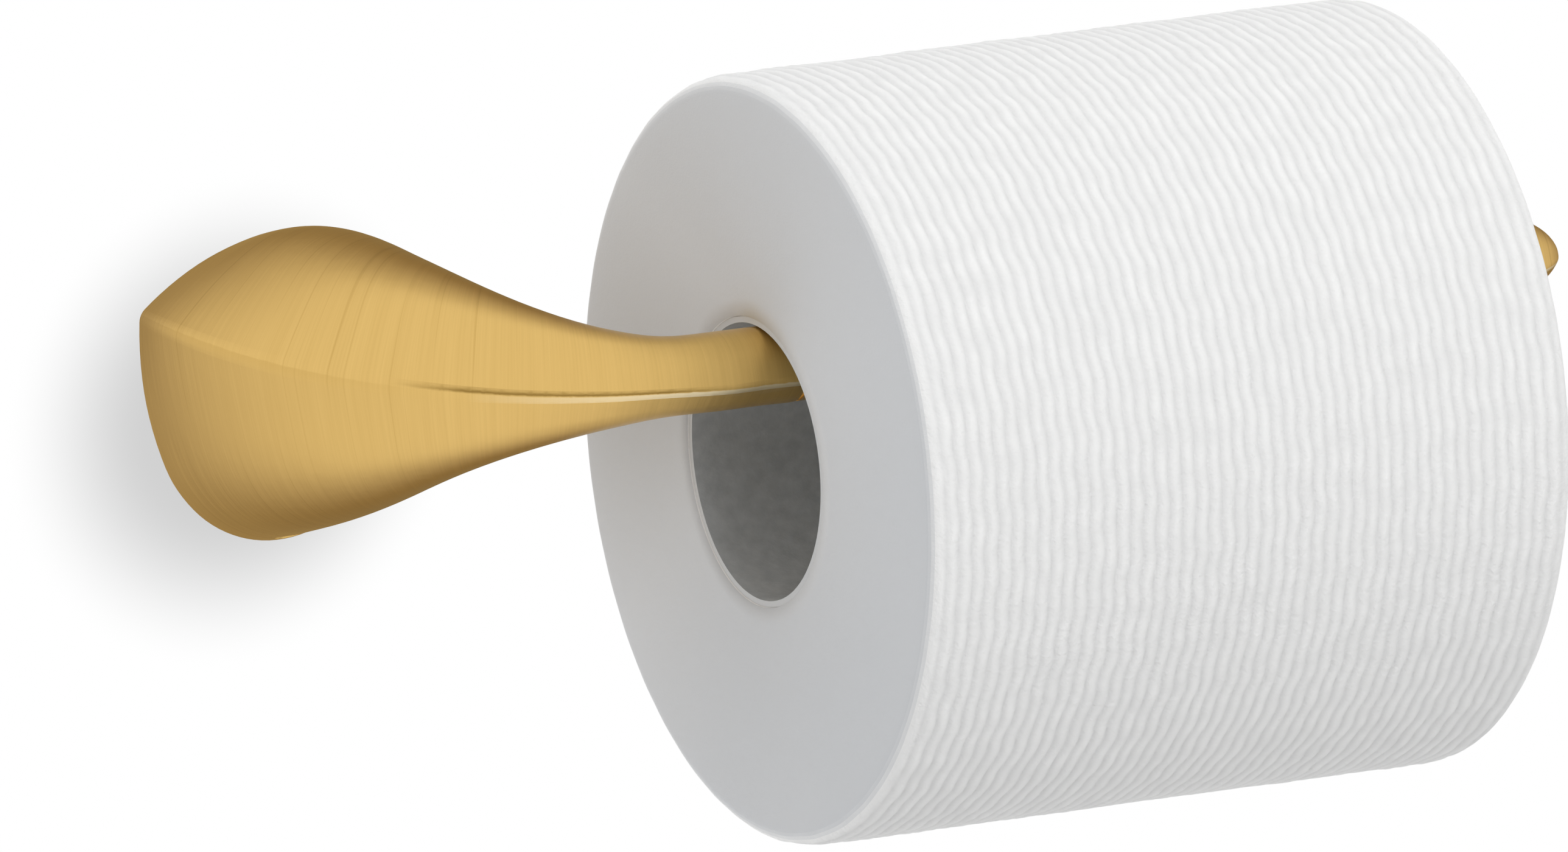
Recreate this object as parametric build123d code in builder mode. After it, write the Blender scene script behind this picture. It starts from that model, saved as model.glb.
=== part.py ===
"""Single-post toilet paper holder: a horn-shaped post that flares onto the wall, bends a quarter turn
and runs on as a thin bar through the core of one paper roll, ending in an upturned tip.

Millimetres. The origin is the middle of the post's foot on the wall's face.
+X runs along the bar to its tip, +Y goes into the wall, +Z is up.
"""

import math
import os

from build123d import *

# the post's foot on the wall
foot_r = 23.6  # half height of the foot
foot_narrow = 0.88  # half width over half height
foot_corner = 1.236  # how far the corner stands out, over foot_r
foot_corner_rise = 27.5  # degrees the corner sits above the left side
foot_bow = 2.06  # radius of the flanks either side of the corner, over foot_r

# the bar
bar_r = 5.85
bar_corner = 1.17  # how far the ridge stands out, over bar_r
bar_corner_rise = -11.0  # degrees the ridge sits above the front
bar_bow = 8.0
bar_reach = 65.9  # wall to the bar's axis
bar_rise = 12.6  # foot's middle to the bar's axis

# the bend between them
bend_end = 37.8  # where the bar runs straight
bend_foot_pull = (-6.6, 38.2, 13.7)  # right, out and up, from the foot's middle
bend_bar_pull = 26.7  # back along the bar from the bend's end
bend_bar_dip = 0.05
bend_late = 1.31  # above 1 the foot stays wide for longer
bend_hollow = (0.78, 1.39)  # how much slimmer it is near the foot and near the bar
bend_sections = 15
turn_in = 0.45  # share of the bend over which sections leave the wall's plane
ridge_round = (0.05, 0.15)  # how far the rounding reaches down each flank, at the foot and the bar

# the roll
roll_start = 45.4  # its near end
roll_length = 106.2
roll_r = 57.25
rim_round = 4.0
rib_count = 41
rib_height = 0.45
core_bore_r = 20.65
core_wall = 0.9
core_inset = 0.2  # how far the core's ends sit inside the paper's
roll_play = 0.3  # under the core, where it hangs on the bar

# the seam between post and bar, inside the roll
seam_inset = 5.8  # from the roll's near end
seam_groove = 0.3
stud_share = 0.495  # the stud's radius over bar_r
stud_reach = 12.0  # into each side
stud_hex = 1.5
key_pin_share = 0.13  # the pin's radius over bar_r
key_pin_low = 0.735  # how far it sits below the bar's axis, over bar_r
key_pin_reach = 3.0

# the tip: distance from its end, rise of its middle above the bar's axis, radius
tip_past_roll = 27.4
tip_sections = (
    (35.0, 0.0, 1.0),
    (31.0, 0.0, 1.0),
    (26.0, 0.2, 1.02),
    (20.0, 0.75, 1.10),
    (14.0, 1.55, 1.22),
    (10.0, 2.0, 1.22),
    (7.0, 2.05, 1.06),
    (4.5, 1.95, 0.86),
    (2.5, 1.85, 0.66),
    (1.0, 1.75, 0.44),
    (0.0, 1.7, 0.20),
)

# the hidden wall plate and its fixings
socket_wall = 3.2  # the foot's wall beside the socket, at its thinnest
socket_depth = 8.5
hollow_end = (0.38, 22.0, 4.0)  # where the inner hollow ends: radius over foot_r, distance out, rise
plate_play = 0.4
plate_thick = 6.0
plate_skin = 2.0
plate_rim = 3.0
plate_bridge = 13.0  # width of the solid band that takes the screws
plate_groove = (1.6, 1.1)  # half width and depth, round its edge
screw_edge = 2.67  # solid left between each head and the groove
screw_r = 1.95  # over the thread, which begins at the wall
screw_neck_r = 1.65
screw_length = 34.0
screw_point = 4.0
screw_head = (3.9, 2.3)  # radius and depth of the countersunk head
recess = (4.2, 1.1, 1.7)  # the cross in each head: length, width, depth
grub_r = 1.97
grub_length = 5.0
grub_hex = 1.0
grub_out = 3.2  # its axis, from the wall

play = 0.05  # round the screws, the stud, the pin and the core

stud_r = bar_r * stud_share
key_pin_r = bar_r * key_pin_share
key_pin_offset = bar_r * key_pin_low
socket_r = foot_r * foot_narrow - socket_wall
roll_end = roll_start + roll_length
tip_end = roll_end + tip_past_roll
seam_at = roll_start + seam_inset
roll_drop = core_bore_r - bar_r - roll_play
bar_axis = Vector(0, -bar_reach, bar_rise)
roll_axis = bar_axis - Vector(0, 0, roll_drop)


def mix(start, stop, share):
    return start + (stop - start) * share


def ease(share):
    share = min(max(share, 0.0), 1.0)
    return share * share * (3 - 2 * share)


def outline(centre, out, up, radius, shape, narrow=1.0):
    """A closed section: a round with one corner drawn out, between bowed flanks, and rounded off.

    The shape is the corner's reach, its angle, the flanks' radius and the rounding, all over radius.
    """
    corner, rise, bow, small = shape
    tilt = math.radians(rise)
    inset = bow - 1
    leave = math.acos((2 * bow - 1 - corner**2) / (2 * corner * inset))
    meet = math.atan2(inset * math.sin(leave), corner + inset * math.cos(leave))
    stop = meet + small / bow

    def at(far, side):
        angle = tilt - math.atan2(side, far)
        size = radius * math.hypot(far, side)
        return centre + out * (narrow * size * math.cos(angle)) + up * (size * math.sin(angle))

    def flank(angle):
        far = bow * math.cos(angle) - inset * math.cos(leave)
        return far, bow * math.sin(angle) - inset * math.sin(leave)

    steps = [stop + (leave - stop) * i / 3 for i in range(3)]
    flanks = [flank(angle) for angle in steps]
    back = [leave + (2 * math.pi - 2 * leave) * i / 20 for i in range(21)]
    points = [at(far, side) for far, side in flanks]
    points += [at(math.cos(angle), math.sin(angle)) for angle in back]
    points += [at(far, -side) for far, side in reversed(flanks)]
    far, side = flanks[0]
    peak = far + side * (1 - math.cos(stop)) / math.sin(stop)
    even = [i / (len(points) - 1) for i in range(len(points))]
    edges = [
        Edge.make_spline(points, parameters=even),
        ThreePointArc(points[-1], at(peak, 0), points[0]),
    ]
    return Face(Wire(edges))


def bar_section(along, rise=0.0, scale=1.0, shrink=0.0):
    """The bar's section at a distance along it, raised, scaled or shrunk."""
    centre = bar_axis + Vector(along, 0, rise)
    out = Vector(0, -1, 0)
    up = Vector(0, 0, 1)
    shape = (bar_corner, bar_corner_rise, bar_bow, ridge_round[1])
    return outline(centre, out, up, bar_r * scale - shrink, shape)


pull_x, pull_out, pull_up = bend_foot_pull
bend = Bezier(
    (0, 0, 0),
    (pull_x, -pull_out, pull_up),
    (bend_end - bend_bar_pull, -bar_reach, bar_rise - bend_bar_dip),
    (bend_end, -bar_reach, bar_rise),
)


def bend_section(share):
    """The post's section at a share of the bend's length, 0 on the wall and 1 where the bar begins."""
    centre = bend.position_at(share)
    along = bend.tangent_at(share)
    blend = ease(share / turn_in)
    facing = (Vector(0, -1, 0) * (1 - blend) + along * blend).normalized()
    up = (Vector(0, 0, 1) - facing * facing.Z).normalized()
    out = up.cross(facing) * -1
    near_foot, near_bar = bend_hollow
    radius = mix(foot_r, bar_r, ease(share**bend_late))
    radius -= 4 * near_foot * share * (1 - share) ** 2
    radius -= 4 * near_bar * share**2 * (1 - share)
    shape = (
        mix(foot_corner, bar_corner, share),
        mix(foot_corner_rise, bar_corner_rise, share),
        mix(foot_bow, bar_bow, share),
        mix(ridge_round[0], ridge_round[1], share),
    )
    return outline(centre, out, up, radius, shape, mix(foot_narrow, 1.0, share))


def along_bar(start, height=0.0):
    """A plane across the bar, looking towards its tip."""
    return Plane(bar_axis + Vector(start, 0, height), x_dir=(0, 1, 0), z_dir=(1, 0, 0))


def out_of_wall(out=0.0, up=0.0):
    """A plane parallel to the wall, looking into the room."""
    return Plane((0, -out, up), x_dir=(1, 0, 0), z_dir=(0, -1, 0))


def turned(up=0.0):
    """A plane for half profiles turned about an axis out of the wall: radius across, distance out up."""
    return Plane((0, 0, up), x_dir=(1, 0, 0), z_dir=(0, 0, -1))


def turning_axis(up=0.0):
    return Axis((0, 0, up), (0, -1, 0))


def seam_rebate(amount):
    """What is cut from round the seam's face, back or forward along the bar."""
    ring = (along_bar(seam_at) * Circle(2 * bar_r)).face() - bar_section(seam_at, shrink=seam_groove)
    return extrude(ring, amount=amount, dir=(1, 0, 0))


post_rebate = seam_rebate(-seam_groove)
bar_rebate = seam_rebate(seam_groove)
plate_r = socket_r - plate_play
groove_half, groove_deep = plate_groove
head_r, head_deep = screw_head
screw_rise = plate_r - groove_deep - head_r - screw_edge
screw_rises = (-screw_rise, screw_rise)
screw_top = plate_thick - 0.2


def screw_profile():
    """Half profile of a countersunk wood screw, its thread as a plain shank."""
    return [
        (0, screw_top),
        (head_r, screw_top),
        (head_r, screw_top - 0.4),
        (screw_neck_r, screw_top - head_deep),
        (screw_neck_r, screw_r - screw_neck_r),
        (screw_r, 0),
        (screw_r, screw_top - screw_length + screw_point),
        (0, screw_top - screw_length),
    ]


def screw_hole():
    """Half profile of a hole that clears the screw's head and its thread."""
    return [
        (0, screw_top),
        (head_r + play, screw_top),
        (head_r + play, screw_top - 0.4),
        (screw_r + play, screw_top - head_deep - play),
        (screw_r + play, -1),
        (0, -1),
    ]


with BuildPart() as post_shell:
    stub = (seam_at - bend_end) / 3
    in_bend = [bend_section(i / (bend_sections - 1)) for i in range(bend_sections)]
    loft(in_bend + [bar_section(bend_end + stub * i) for i in (1, 2, 3)])
    add(post_rebate, mode=Mode.SUBTRACT)
    # the socket that drops over the wall plate, and the hollow above it
    with BuildSketch(out_of_wall()):
        Circle(socket_r)
    extrude(amount=socket_depth, mode=Mode.SUBTRACT)
    hollow_share, hollow_out, hollow_up = hollow_end
    with BuildSketch(out_of_wall(socket_depth - 0.5)):
        Circle(socket_r - 2)
    with BuildSketch(out_of_wall(hollow_out, hollow_up)):
        Circle(foot_r * hollow_share)
    loft(mode=Mode.SUBTRACT)
    # the hole for the grub screw, through the foot's underside
    with BuildSketch(Plane.XY.offset(-foot_r - 6)):
        with Locations((0, -grub_out)):
            Circle(grub_r + play)
    extrude(amount=foot_r + 6 - socket_r + 1, mode=Mode.SUBTRACT)
    # the stud's hole and the key pin's
    with BuildSketch(along_bar(seam_at)):
        Circle(stud_r + play)
    extrude(amount=-stud_reach - 0.5, mode=Mode.SUBTRACT)
    with BuildSketch(along_bar(seam_at, -key_pin_offset)):
        Circle(key_pin_r + play)
    extrude(amount=-key_pin_reach - 0.5, mode=Mode.SUBTRACT)
post_shell.part.label = "post_shell"

with BuildPart() as roll_bar:
    tip_start = tip_end - tip_sections[0][0]
    loft([bar_section(seam_at), bar_section(tip_start)], ruled=True)
    loft([bar_section(tip_end - back, rise, scale) for back, rise, scale in tip_sections])
    add(bar_rebate, mode=Mode.SUBTRACT)
    with BuildSketch(along_bar(seam_at)):
        Circle(stud_r + play)
    extrude(amount=stud_reach + 0.5, mode=Mode.SUBTRACT)
    with BuildSketch(along_bar(seam_at, -key_pin_offset)):
        Circle(key_pin_r + play)
    extrude(amount=key_pin_reach + 0.5, mode=Mode.SUBTRACT)
roll_bar.part.label = "roll_bar"

with BuildPart() as bar_stud:
    with BuildSketch(along_bar(seam_at - stud_reach)):
        Circle(stud_r)
    extrude(amount=2 * stud_reach)
    chamfer(bar_stud.edges().filter_by(GeomType.CIRCLE), 0.6)
    with BuildSketch(along_bar(seam_at + stud_reach)):
        RegularPolygon(stud_hex, 6)
    extrude(amount=-3, mode=Mode.SUBTRACT)
bar_stud.part.label = "bar_stud"

with BuildPart() as bar_key_pin:
    with BuildSketch(along_bar(seam_at - key_pin_reach, -key_pin_offset)):
        Circle(key_pin_r)
    extrude(amount=2 * key_pin_reach)
    chamfer(bar_key_pin.edges().filter_by(GeomType.CIRCLE), 0.2)
bar_key_pin.part.label = "bar_key_pin"

with BuildPart() as wall_plate:
    # a disc with a groove round its edge for the grub screw's point
    with BuildSketch(turned()):
        with BuildLine():
            Polyline(
                (0, 0),
                (plate_r, 0),
                (plate_r, grub_out - groove_half),
                (plate_r - groove_deep, grub_out),
                (plate_r, grub_out + groove_half),
                (plate_r, plate_thick - 0.5),
                (plate_r - 0.5, plate_thick),
                (0, plate_thick),
                close=True,
            )
        make_face()
    revolve(axis=turning_axis())
    # hollow behind, except for its rim and the band that takes the screws
    with BuildSketch(out_of_wall()):
        Circle(plate_r - plate_rim)
        Rectangle(plate_bridge, 3 * plate_r, mode=Mode.SUBTRACT)
    extrude(amount=plate_thick - plate_skin, mode=Mode.SUBTRACT)
    for rise in screw_rises:
        with BuildSketch(turned(rise)):
            with BuildLine():
                Polyline(*screw_hole(), close=True)
            make_face()
        revolve(axis=turning_axis(rise), mode=Mode.SUBTRACT)
        with BuildSketch(out_of_wall(plate_thick + 1, rise)):
            Circle(head_r + play)
        extrude(amount=-1.3, mode=Mode.SUBTRACT)
wall_plate.part.label = "wall_plate"

with BuildPart() as mounting_screws:
    cross_length, cross_width, cross_deep = recess
    for rise in screw_rises:
        with BuildSketch(turned(rise)):
            with BuildLine():
                Polyline(*screw_profile(), close=True)
            make_face()
        revolve(axis=turning_axis(rise))
        with BuildSketch(out_of_wall(plate_thick, rise)):
            Rectangle(cross_length, cross_width)
            Rectangle(cross_width, cross_length)
        extrude(amount=-cross_deep, mode=Mode.SUBTRACT)
mounting_screws.part.label = "mounting_screws"

with BuildPart() as set_screw:
    point_top = -(plate_r - groove_deep + 0.1)
    with BuildSketch(Plane.XZ.offset(grub_out)):
        with BuildLine():
            Polyline(
                (0, point_top),
                (0.25, point_top),
                (grub_r, point_top - grub_r + 0.25),
                (grub_r, point_top - grub_length + 0.3),
                (grub_r - 0.3, point_top - grub_length),
                (0, point_top - grub_length),
                close=True,
            )
        make_face()
    revolve(axis=Axis((0, -grub_out, 0), (0, 0, 1)))
    with BuildSketch(Plane.XY.offset(point_top - grub_length)):
        with Locations((0, -grub_out)):
            RegularPolygon(grub_hex, 6)
    extrude(amount=2.2, mode=Mode.SUBTRACT)
set_screw.part.label = "set_screw"

along_roll = Plane((0, roll_axis.Y, roll_axis.Z), x_dir=(1, 0, 0), z_dir=(0, -1, 0))
core_r = core_bore_r + core_wall
with BuildPart() as core_tube:
    with BuildSketch(along_roll):
        with Locations((roll_start + core_inset, core_bore_r)):
            Rectangle(roll_length - 2 * core_inset, core_wall, align=(Align.MIN, Align.MIN))
    revolve(axis=Axis(roll_axis, (1, 0, 0)))
core_tube.part.label = "core_tube"

with BuildPart() as paper_roll:
    with BuildSketch(along_roll):
        with BuildLine():
            rib_r = roll_r - rib_height
            ribs_from = roll_start + rim_round
            pitch = (roll_length - 2 * rim_round) / rib_count
            shoulder = roll_r - rim_round
            bow = rim_round * (1 - math.sqrt(0.5))
            Line((roll_start, core_r + play), (roll_start, shoulder))
            ThreePointArc(
                (roll_start, shoulder),
                (roll_start + bow, rib_r - bow),
                (ribs_from, rib_r),
            )
            for i in range(rib_count):
                low = ribs_from + i * pitch
                ThreePointArc((low, rib_r), (low + pitch / 2, roll_r), (low + pitch, rib_r))
            ThreePointArc(
                (roll_end - rim_round, rib_r),
                (roll_end - bow, rib_r - bow),
                (roll_end, shoulder),
            )
            Line((roll_end, shoulder), (roll_end, core_r + play))
            Line((roll_end, core_r + play), (roll_start, core_r + play))
        make_face()
    revolve(axis=Axis(roll_axis, (1, 0, 0)))
paper_roll.part.label = "paper_roll"

os.makedirs("parts", exist_ok=True)
export_step(post_shell.part, "parts/post_shell.step")
export_step(roll_bar.part, "parts/roll_bar.step")
export_step(bar_stud.part, "parts/bar_stud.step")
export_step(bar_key_pin.part, "parts/bar_key_pin.step")
export_step(wall_plate.part, "parts/wall_plate.step")
export_step(mounting_screws.part, "parts/mounting_screws.step")
export_step(set_screw.part, "parts/set_screw.step")
export_step(core_tube.part, "parts/core_tube.step")
export_step(paper_roll.part, "parts/paper_roll.step")
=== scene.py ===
import math

import bmesh
import bpy
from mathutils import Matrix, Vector, noise


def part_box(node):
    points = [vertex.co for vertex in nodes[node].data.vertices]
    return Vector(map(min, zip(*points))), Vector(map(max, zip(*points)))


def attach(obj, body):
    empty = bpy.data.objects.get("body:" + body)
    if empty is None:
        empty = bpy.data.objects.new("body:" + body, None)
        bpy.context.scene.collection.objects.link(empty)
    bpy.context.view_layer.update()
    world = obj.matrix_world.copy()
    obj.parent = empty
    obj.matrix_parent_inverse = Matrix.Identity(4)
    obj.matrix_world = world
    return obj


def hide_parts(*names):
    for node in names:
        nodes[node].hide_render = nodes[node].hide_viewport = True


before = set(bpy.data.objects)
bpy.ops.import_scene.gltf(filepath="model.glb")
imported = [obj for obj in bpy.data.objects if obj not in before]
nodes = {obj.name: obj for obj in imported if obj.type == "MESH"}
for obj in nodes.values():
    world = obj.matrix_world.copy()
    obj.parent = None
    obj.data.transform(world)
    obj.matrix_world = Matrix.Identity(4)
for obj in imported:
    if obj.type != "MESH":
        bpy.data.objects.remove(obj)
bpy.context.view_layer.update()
paperLow, paperHigh = (Vector(c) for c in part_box("paper_roll"))
coreLow, coreHigh = (Vector(c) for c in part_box("core_tube"))
studLow, studHigh = (Vector(c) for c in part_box("bar_stud"))
print("frame loaded")

rollCentre = (paperLow + paperHigh) / 2
rollRadius = (paperHigh.z - paperLow.z) / 2
coreRadius = (coreHigh.z - coreLow.z) / 2
barAxis = (studLow + studHigh) / 2  # a point on the bar's axis, at the seam


# small helpers for node trees

def newMaterial(name):
    material = bpy.data.materials.new(name)
    material.use_nodes = True
    material.node_tree.nodes.clear()
    return material, NodeMaker(material.node_tree)


class NodeMaker:
    def __init__(self, tree):
        self.tree = tree

    def add(self, kind, inputs=None, **settings):
        node = self.tree.nodes.new(kind)
        for key, value in settings.items():
            setattr(node, key, value)
        for key, value in (inputs or {}).items():
            self.feed(node.inputs[key], value)
        return node

    def feed(self, socket, value):
        if isinstance(value, bpy.types.NodeSocket):
            self.tree.links.new(value, socket)
        else:
            socket.default_value = value

    def maths(self, operation, a, b=0.0, c=None):
        node = self.add("ShaderNodeMath", {0: a, 1: b}, operation=operation)
        if c is not None:
            self.feed(node.inputs[2], c)
        return node.outputs[0]

    def vector(self, operation, a, b=(0, 0, 0)):
        return self.add("ShaderNodeVectorMath", {0: a, 1: b}, operation=operation).outputs[0]

    def dot(self, a, b):
        return self.add("ShaderNodeVectorMath", {0: a, 1: b}, operation="DOT_PRODUCT").outputs["Value"]

    def length(self, vector):
        return self.add("ShaderNodeVectorMath", {0: vector}, operation="LENGTH").outputs["Value"]

    def split(self, vector):
        return self.add("ShaderNodeSeparateXYZ", {0: vector}).outputs

    def join(self, x, y, z):
        return self.add("ShaderNodeCombineXYZ", {0: x, 1: y, 2: z}).outputs[0]

    def noise(self, vector, scale, detail=2.0, roughness=0.5):
        inputs = {"Vector": vector, "Scale": scale, "Detail": detail, "Roughness": roughness}
        return self.add("ShaderNodeTexNoise", inputs).outputs["Fac"]

    def remap(self, value, fromLow, fromHigh, toLow, toHigh):
        inputs = {"Value": value, 1: fromLow, 2: fromHigh, 3: toLow, 4: toHigh}
        return self.add("ShaderNodeMapRange", inputs).outputs[0]

    def between(self, value, climb, drop):
        # 1 between two places and 0 outside them; each is where it starts and ends changing
        risen = self.remap(value, climb[0], climb[1], 0.0, 1.0)
        held = self.remap(value, drop[0], drop[1], 1.0, 0.0)
        return self.maths("MULTIPLY", risen, held)

    def mix(self, factor, first, second):
        node = self.add("ShaderNodeMix", data_type="RGBA")
        self.feed(node.inputs[0], factor)
        self.feed(node.inputs[6], first)
        self.feed(node.inputs[7], second)
        return node.outputs[2]

    def place(self):
        return self.add("ShaderNodeTexCoord").outputs["Object"]

    def bump(self, height, distance, strength=1.0, under=None):
        inputs = {"Height": height, "Distance": distance, "Strength": strength}
        node = self.add("ShaderNodeBump", inputs)
        if under is not None:
            self.feed(node.inputs["Normal"], under)
        return node.outputs[0]

    def finish(self, shader):
        self.add("ShaderNodeOutputMaterial", {"Surface": shader.outputs[0]})


def dress(name, material):
    mesh = nodes[name].data
    mesh.materials.clear()
    mesh.materials.append(material)


# brushed gold on the post and the bar; spans are metres along them, turns are radians up from the ridge
goldLook = {
    "colour": (0.78, 0.52, 0.175, 1),
    # dark colour of the brushing strokes and scratches, also used for the painted shade under the ridge
    "darkStrokeAndShade": (0.60, 0.38, 0.11, 1),
    # painted highlight: a bright colour laid along the arm's ridge
    "ridge": (1.0, 0.86, 0.58, 1),
    "ridgeShine": 0.85,
    "ridgeShineSpan": (0.066, 0.098),
    "ridgeShineTurns": ((-0.55, -0.40), (-0.05, 0.05)),
    # painted shadow: a dark line laid just above the arm's ridge
    "shadowLine": (0.26, 0.15, 0.03, 1),
    "shadowLineDepth": 0.85,
    "shadowLineSpans": ((0.056, 0.066), (0.094, 0.104)),
    "shadowLineTurns": ((0.0, 0.12), (0.16, 0.45)),
    # painted shade: the foot's flank under the ridge is darkened towards the dark stroke colour
    "underRidge": 0.42,
    "underRidgeSpan": (0.040, 0.066),
    "underRidgeTurns": ((-1.1, -0.1), (-0.03, 0.03)),
    "ridgeRise": (0.48, -0.19),  # how high the ridge sits at the foot and on the bar, in radians
    "ridgeLate": 1.31,  # above 1 it sinks later
    "seamPastBend": 0.012,
    "roughness": (0.28, 0.38),
    "anisotropy": 0.7,
    "strokesPerMetre": 3200,
    "strokeSlant": 45.0,
    "strokeDepth": 0.000012,
    "strokeTone": 0.34,
    "broadPerMetre": 950.0,
    "broadSlant": 30.0,
    "scratchesPerMetre": 1500.0,
    "scratchSlant": 16.0,
    "scratches": 0.45,
}

bendLength = -barAxis.y * math.pi / 2


def alongPost(make):
    # distance along the post's bend and the bar, and which way they head there
    place = make.place()
    x, y, z = make.split(place)
    bendEnd = barAxis.x - goldLook["seamPastBend"]
    reach = -barAxis.y
    inBend = make.maths("MINIMUM", make.maths("SUBTRACT", x, bendEnd), 0.0)
    past = make.maths("MAXIMUM", make.maths("SUBTRACT", x, bendEnd), 0.0)
    angle = make.maths("ARCTAN2", make.maths("MULTIPLY", y, -1.0), make.maths("MULTIPLY", inBend, -1.0))
    along = make.maths("MULTIPLY_ADD", angle, reach, past)
    heading = make.vector("NORMALIZE", make.join(make.maths("MULTIPLY", y, -1.0), inBend, 0.0))
    return place, along, z, heading


def aboveRidge(make, along, heading):
    # how far the surface is turned up from the ridge, in radians; the ridge sinks as it runs along
    riseAtFoot, riseAtBar = goldLook["ridgeRise"]
    share = make.remap(along, 0.0, bendLength, 0.0, 1.0)
    rise = make.maths("MULTIPLY_ADD", make.maths("POWER", share, goldLook["ridgeLate"]),
                      riseAtBar - riseAtFoot, riseAtFoot)
    headingX, headingY = make.split(heading)[:2]
    outward = make.join(headingY, make.maths("MULTIPLY", headingX, -1.0), 0.0)
    normal = make.add("ShaderNodeNewGeometry").outputs["Normal"]
    turned = make.maths("ARCTAN2", make.split(normal)[2], make.dot(normal, outward))
    return make.maths("SUBTRACT", turned, rise)


def stroked(make, along, z, perMetre, slant, offset, detail, roughness):
    # noise drawn out into strokes that run round the post
    place = make.join(make.maths("MULTIPLY", along, perMetre), make.maths("MULTIPLY", z, slant), offset)
    return make.noise(place, 1.0, detail, roughness)


def paintedRidgeLight(make, colour, along, heading):
    # painted highlight along the arm's ridge, with a soft painted shadow line above it; on the foot, painted
    # shade under it
    above = aboveRidge(make, along, heading)
    # painted shadow line above the ridge
    overRidge = make.between(above, *goldLook["shadowLineTurns"])
    lineSpan = make.between(along, *goldLook["shadowLineSpans"])
    dark = make.maths("MULTIPLY", lineSpan, goldLook["shadowLineDepth"])
    colour = make.mix(make.maths("MULTIPLY", overRidge, dark), colour, goldLook["shadowLine"])
    # painted highlight on the ridge itself
    onRidge = make.between(above, *goldLook["ridgeShineTurns"])
    bright = make.remap(along, *goldLook["ridgeShineSpan"], 0.0, goldLook["ridgeShine"])
    colour = make.mix(make.maths("MULTIPLY", onRidge, bright), colour, goldLook["ridge"])
    # painted shade under the ridge on the foot
    under = make.between(above, *goldLook["underRidgeTurns"])
    onFoot = make.remap(along, *goldLook["underRidgeSpan"], goldLook["underRidge"], 0.0)
    return make.mix(make.maths("MULTIPLY", under, onFoot), colour, goldLook["darkStrokeAndShade"])


def brushedGold():
    material, make = newMaterial("brushedGold")
    place, along, z, heading = alongPost(make)
    strokes = stroked(make, along, z, goldLook["strokesPerMetre"], goldLook["strokeSlant"],
                      make.maths("MULTIPLY", along, 3.0), 3.0, 0.65)
    bands = stroked(make, along, z, goldLook["broadPerMetre"], goldLook["broadSlant"], 4.0, 2.0, 0.5)
    drift = make.noise(place, 30.0, 2.0, 0.5)
    tone = make.maths("MULTIPLY_ADD", strokes, 0.7, make.maths("MULTIPLY", bands, 0.3))
    # a few longer, darker scratches among the fine strokes
    single = stroked(make, along, z, goldLook["scratchesPerMetre"], goldLook["scratchSlant"], 9.0, 0.0, 0.5)
    scratch = make.remap(single, 0.70, 0.78, 0.0, goldLook["scratches"])
    worn = make.maths("ADD", make.remap(tone, 0.35, 0.65, goldLook["strokeTone"], 0.0), scratch)
    colour = make.mix(worn, goldLook["colour"], goldLook["darkStrokeAndShade"])
    low, high = goldLook["roughness"]
    rough = make.remap(make.maths("MULTIPLY_ADD", drift, 0.4, make.maths("MULTIPLY", strokes, 0.6)),
                       0.3, 0.7, low, high)
    # strokes run round the post, so its reflections smear along it
    shader = make.add("ShaderNodeBsdfPrincipled", {
        "Base Color": paintedRidgeLight(make, colour, along, heading), "Metallic": 1.0, "Roughness": rough,
        "Anisotropic": goldLook["anisotropy"], "Tangent": heading,
        "Normal": make.bump(strokes, goldLook["strokeDepth"]),
    })
    make.finish(shader)
    return material


gold = brushedGold()
dress("post_shell", gold)
dress("roll_bar", gold)
print("post and bar dressed")


# the hidden fixings
metalLooks = {
    "platedSteel": {"colour": (0.56, 0.56, 0.57, 1), "roughness": 0.32, "speckle": 1500.0, "depth": 0.000008},
    "castZinc": {"colour": (0.40, 0.40, 0.41, 1), "roughness": 0.5, "speckle": 900.0, "depth": 0.00004},
}


def plainMetal(name):
    material, make = newMaterial(name)
    look = metalLooks[name]
    colour = look["colour"]
    roughness = look["roughness"]
    place = make.place()
    grain = make.noise(place, look["speckle"], 4.0, 0.6)
    worn = make.noise(place, 180.0, 3.0, 0.5)
    dark = tuple(c * 0.75 for c in colour[:3]) + (1,)
    shader = make.add("ShaderNodeBsdfPrincipled", {
        "Base Color": make.mix(make.remap(worn, 0.3, 0.7, 0.0, 1.0), colour, dark),
        "Metallic": 1.0,
        "Roughness": make.remap(grain, 0.3, 0.7, roughness - 0.07, roughness + 0.09),
        "Normal": make.bump(grain, look["depth"]),
    })
    make.finish(shader)
    return material


steel = plainMetal("platedSteel")
castZinc = plainMetal("castZinc")
for name in ("bar_stud", "bar_key_pin", "mounting_screws", "set_screw"):
    dress(name, steel)
dress("wall_plate", castZinc)
print("fixings dressed")


# the roll; lengths are metres
rollLook = {
    "ribs": 49,
    "ribDepth": 0.00050,
    "ribSteps": 6,  # along each rib
    "waveLength": 0.0085,
    "waveReach": 0.00024,
    "softness": 0.00025,  # how far the whole surface wanders
    "fluff": 0.00022,
    "fibre": 0.00005,
    "coreGap": 0.00005,
    "rim": 0.0028,
    "rimSteps": 7,
    "faceSteps": 12,
    "steps": 300,  # round the roll
    "paper": (0.93, 0.93, 0.925, 1),
    # grey of the painted shade in the rib valleys, also of the random blotches on the ends
    "groove": (0.76, 0.76, 0.76, 1),
    # painted shade: the roll's ends are a darker, cooler grey than its side
    "shadedEndFace": (0.655, 0.672, 0.695, 1),
}


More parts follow.
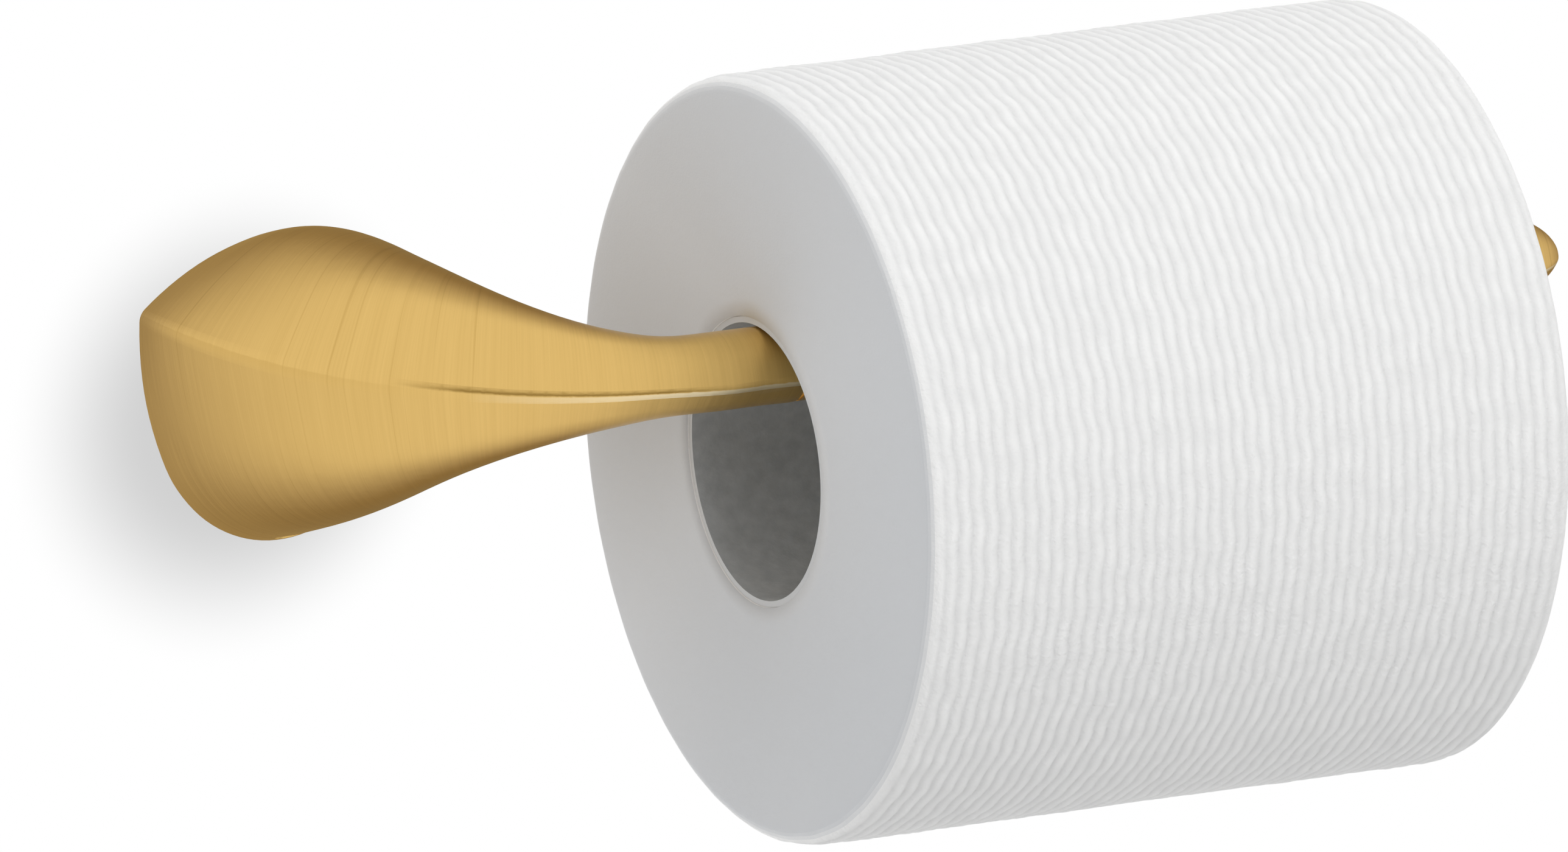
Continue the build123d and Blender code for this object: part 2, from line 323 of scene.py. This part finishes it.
def rollProfile():
    # (x, radius, kind) round the roll's section: 0 plain, 1 ribbed side; x runs from the near end
    length = paperHigh.x - paperLow.x
    rim = rollLook["rim"]
    inner = coreRadius + rollLook["coreGap"]
    top = rollRadius
    outline = []
    faceSteps = rollLook["faceSteps"]
    for i in range(faceSteps):
        outline.append((0.0, inner + (top - rim - inner) * i / faceSteps, 0.0))
    rimSteps = rollLook["rimSteps"]
    for i in range(rimSteps):
        turn = math.pi / 2 * i / rimSteps
        outline.append((rim * (1 - math.cos(turn)), top - rim + rim * math.sin(turn), i / rimSteps))
    sideSteps = rollLook["ribs"] * rollLook["ribSteps"]
    for i in range(sideSteps + 1):
        outline.append((rim + (length - 2 * rim) * i / sideSteps, top, 1.0))
    for i in reversed(range(rimSteps)):
        turn = math.pi / 2 * i / rimSteps
        outline.append((length - rim * (1 - math.cos(turn)), top - rim + rim * math.sin(turn), i / rimSteps))
    for i in reversed(range(faceSteps)):
        outline.append((length, inner + (top - rim - inner) * i / faceSteps, 0.0))
    return outline


def ribbedPoint(x, radius, kind, turn):
    length = paperHigh.x - paperLow.x
    pitch = length / rollLook["ribs"]
    around = Vector((math.cos(turn) * rollRadius, math.sin(turn) * rollRadius, 0))
    waves = round(2 * math.pi * rollRadius / rollLook["waveLength"])
    drift = noise.noise(Vector((x * 60, around.x * 40, around.y * 40)) + Vector((3, 7, 1)))
    sway = math.sin(waves * turn + 2.2 * drift + x * 35) * 0.7
    sway += 0.9 * noise.noise(Vector((x * 260, around.x * 260, around.y * 260)))
    shifted = x + rollLook["waveReach"] * sway
    phase = (shifted / pitch) % 1.0
    swell = 1 - abs(2 * phase - 1) ** 2.0
    height = 0.86 + 0.28 * noise.noise(Vector((x * 300, around.x * 300, around.y * 300)) + Vector((9, 2, 5)))
    sink = rollLook["ribDepth"] * (1 - swell * height) * kind
    wander = noise.noise(Vector((x * 45, around.x * 45, around.y * 45)) + Vector((1, 1, 4)))
    soft = rollLook["softness"] * wander * kind
    return x, radius - sink - abs(soft), (1 - swell * height) * kind


def buildRoll():
    outline = rollProfile()
    steps = rollLook["steps"]
    points = []
    depths = []
    for x, radius, kind in outline:
        for j in range(steps):
            turn = 2 * math.pi * j / steps
            px, r, depth = ribbedPoint(x, radius, kind, turn) if kind > 0 else (x, radius, 0.0)
            depths.append(depth)
            y = rollCentre.y + r * math.cos(turn)
            z = rollCentre.z + r * math.sin(turn)
            points.append((paperLow.x + px, y, z))
    faces = []
    count = len(outline)
    for i in range(count):
        for j in range(steps):
            a = i * steps + j
            b = i * steps + (j + 1) % steps
            c = ((i + 1) % count) * steps + (j + 1) % steps
            d = ((i + 1) % count) * steps + j
            faces.append((a, b, c, d))
    mesh = bpy.data.meshes.new("tissueRoll")
    mesh.from_pydata(points, [], faces)
    mesh.attributes.new("depth", "FLOAT", "POINT").data.foreach_set("value", depths)
    work = bmesh.new()
    work.from_mesh(mesh)
    bmesh.ops.recalc_face_normals(work, faces=work.faces)
    work.to_mesh(mesh)
    work.free()
    mesh.shade_smooth()
    roll = bpy.data.objects.new("tissueRoll", mesh)
    bpy.context.scene.collection.objects.link(roll)
    return roll


def tissue():
    material, make = newMaterial("softTissue")
    place = make.place()
    fibre = make.noise(place, 2600.0, 4.0, 0.7)
    fluff = make.noise(place, 1100.0, 2.0, 0.55)
    depth = make.add("ShaderNodeAttribute", attribute_name="depth").outputs["Fac"]
    # painted shade: the rib valleys are darkened by their depth
    side = make.mix(make.remap(depth, 0.0, 1.0, 0.0, 1.0), rollLook["paper"], rollLook["groove"])
    facing = make.maths("ABSOLUTE", make.split(make.add("ShaderNodeNewGeometry").outputs["True Normal"])[0])
    # painted shade on the ends, with random blotches
    end = make.mix(make.remap(make.noise(place, 14.0, 1.0, 0.5), 0.3, 0.7, 0.0, 0.35),
                   rollLook["shadedEndFace"], rollLook["groove"])
    colour = make.mix(make.remap(facing, 0.75, 0.97, 0.0, 1.0), side, end)
    onSide = make.remap(facing, 0.75, 0.97, 1.0, 0.15)
    shader = make.add("ShaderNodeBsdfPrincipled", {
        "Base Color": colour, "Roughness": 0.92, "Specular IOR Level": 0.12,
        "Sheen Weight": 0.15, "Sheen Roughness": 0.6,
        "Normal": make.bump(fibre, rollLook["fibre"], under=make.bump(fluff, rollLook["fluff"], onSide)),
    })
    make.finish(shader)
    return material


coreLook = {
    "inside": (0.45, 0.475, 0.495, 1),
    "insideLight": (0.55, 0.575, 0.595, 1),
    "cutEdge": (0.62, 0.63, 0.64, 1),
    "fibre": 0.00004,
}


def coreCard():
    material, make = newMaterial("coreCard")
    place = make.place()
    fibre = make.noise(place, 1500.0, 4.0, 0.7)
    fleck = make.noise(place, 420.0, 3.0, 0.6)
    inside = make.mix(make.remap(fleck, 0.3, 0.7, 0.0, 1.0), coreLook["inside"], coreLook["insideLight"])
    facing = make.maths("ABSOLUTE", make.split(make.add("ShaderNodeNewGeometry").outputs["True Normal"])[0])
    card = make.mix(make.maths("GREATER_THAN", facing, 0.7), inside, coreLook["cutEdge"])
    shader = make.add("ShaderNodeBsdfPrincipled", {
        "Base Color": card, "Roughness": 0.9, "Specular IOR Level": 0.1,
        "Normal": make.bump(fibre, coreLook["fibre"]),
    })
    make.finish(shader)
    return material


roll = buildRoll()
roll.data.materials.append(tissue())
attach(roll, "paper")
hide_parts("paper_roll")
dress("core_tube", coreCard())
print("roll built", len(roll.data.polygons))


# the wall, the floor, the light and the camera
stageLook = {
    "wallSize": 6.0,
    "floorDrop": 0.55,
    "shade": 0.36,  # how dark the foot's painted soft shadow is, and where it is painted on the wall
    "shadeAt": (-0.0075, -0.0045),
    "shadeInner": 0.013,
    "shadeOuter": 0.038,
    "bright": (1.0, 1.0, 1.0, 1),  # what the metal mirrors in front
    "dim": (0.28, 0.21, 0.10, 1),  # and behind
    "dimBelow": 0.4,
    "brightSide": (-0.47, -0.88, 0.0),
    "facingSpan": (-0.95, -0.3),  # from dim to bright, by how far it faces the bright side
    "floorTones": ((0.62, 0.62, 0.62, 1), (0.66, 0.66, 0.66, 1)),
}


def flatPanel(name, corners, material):
    mesh = bpy.data.meshes.new(name)
    mesh.from_pydata(corners, [], [(0, 1, 2, 3)])
    mesh.materials.append(material)
    panel = bpy.data.objects.new(name, mesh)
    bpy.context.scene.collection.objects.link(panel)
    return panel


def wallPaint():
    material, make = newMaterial("wallPaint")
    x, y, z = make.split(make.place())
    # an even bright white glow, with the foot's soft shadow painted below and to its left
    shadeX, shadeZ = stageLook["shadeAt"]
    away = make.length(make.join(make.maths("SUBTRACT", x, shadeX), 0.0, make.maths("SUBTRACT", z, shadeZ)))
    fade = {"Value": away, 1: stageLook["shadeInner"], 2: stageLook["shadeOuter"]}
    fade.update({3: 1 - stageLook["shade"], 4: 1.0})
    shade = make.add("ShaderNodeMapRange", fade, interpolation_type="SMOOTHSTEP")
    # the painted shadow dims the wall's glow
    front = make.add("ShaderNodeEmission", {"Color": (1, 1, 1, 1), "Strength": shade.outputs[0]})
    clear = make.add("ShaderNodeBsdfTransparent")
    behind = make.add("ShaderNodeNewGeometry").outputs["Backfacing"]
    make.finish(make.add("ShaderNodeMixShader", {0: behind, 1: front.outputs[0], 2: clear.outputs[0]}))
    return material


def floorPaint():
    material, make = newMaterial("floorPaint")
    grain = make.noise(make.place(), 60.0, 2.0, 0.5)
    shader = make.add("ShaderNodeBsdfPrincipled", {
        "Base Color": make.mix(grain, *stageLook["floorTones"]), "Roughness": 0.8,
    })
    make.finish(shader)
    return material


half = stageLook["wallSize"] / 2
floorAt = -stageLook["floorDrop"]
wallCorners = [(-half, 0, floorAt), (half, 0, floorAt), (half, 0, half), (-half, 0, half)]
wall = flatPanel("wall", wallCorners, wallPaint())
wall.visible_glossy = False
floorCorners = [(x, y, floorAt) for x, y in ((-half, -half), (half, -half), (half, half), (-half, half))]
floorPanel = flatPanel("floor", floorCorners, floorPaint())
floorPanel.visible_glossy = False

scene = bpy.context.scene
scene.view_settings.view_transform = "Standard"
world = bpy.data.worlds.new("studio")
scene.world = world
world.use_nodes = True
world.node_tree.nodes.clear()
sky = NodeMaker(world.node_tree)
direction = sky.add("ShaderNodeTexCoord").outputs["Generated"]
side = sky.dot(direction, stageLook["brightSide"])
upward = sky.split(direction)[2]
below = sky.maths("MULTIPLY", sky.maths("MINIMUM", upward, 0.0), stageLook["dimBelow"])
facing = sky.remap(sky.maths("ADD", side, below), *stageLook["facingSpan"], 0.0, 1.0)
mirrored = sky.mix(facing, stageLook["dim"], stageLook["bright"])
background = sky.add("ShaderNodeBackground", {"Color": mirrored})
sky.add("ShaderNodeOutputWorld", {"Surface": background.outputs[0]})
world.cycles_visibility.diffuse = False  # the world is only what the metal mirrors


def softLight(name, place, aim, size, power):
    light = bpy.data.lights.new(name, "AREA")
    light.shape = "RECTANGLE"
    light.size, light.size_y = size
    light.energy = power
    lamp = bpy.data.objects.new(name, light)
    lamp.location = place
    lamp.rotation_euler = (Vector(aim) - Vector(place)).to_track_quat("-Z", "Y").to_euler()
    lamp.visible_glossy = False
    scene.collection.objects.link(lamp)


lightAim = (0.06, -0.05, 0.0)
lights = {  # where each one stands, its width and height, and its power
    "keyLight": ((0.5, -1.6, 0.8), (1.2, 1.2), 21),
    "leftLight": ((-1.4, -0.9, 0.4), (1.0, 1.2), 7.5),
    "topLight": ((0.1, -0.5, 1.5), (1.2, 1.0), 5),
    "lowLight": ((0.3, -1.3, -0.45), (1.2, 0.6), 0.1),
}
for name, (place, size, power) in lights.items():
    softLight(name, place, lightAim, size, power)

cameraLook = {
    "turn": 27.3,  # degrees left of straight on
    "rise": 14.5,
    "distance": 5.0,
    "frameWidth": 0.2302,  # what the frame spans at the roll's near end
    "right": 0.00429,  # from the bar's axis at the roll's near end to the frame's middle
    "down": 0.00876,
}


def aimCamera():
    turn = math.radians(cameraLook["turn"])
    rise = math.radians(cameraLook["rise"])
    forward = Vector((math.sin(turn) * math.cos(rise), math.cos(turn) * math.cos(rise), -math.sin(rise)))
    right = Vector((math.cos(turn), -math.sin(turn), 0))
    up = right.cross(forward)
    mark = Vector((paperLow.x, barAxis.y, barAxis.z))
    target = mark + right * cameraLook["right"] - up * cameraLook["down"]
    data = bpy.data.cameras.new("mainCamera")
    data.sensor_width = 36
    data.lens = 36 * cameraLook["distance"] / cameraLook["frameWidth"]
    data.clip_end = 50
    camera = bpy.data.objects.new("mainCamera", data)
    camera.location = target - forward * cameraLook["distance"]
    camera.rotation_euler = forward.to_track_quat("-Z", "Y").to_euler()
    scene.collection.objects.link(camera)
    scene.camera = camera


aimCamera()
print("stage, lights and camera placed")
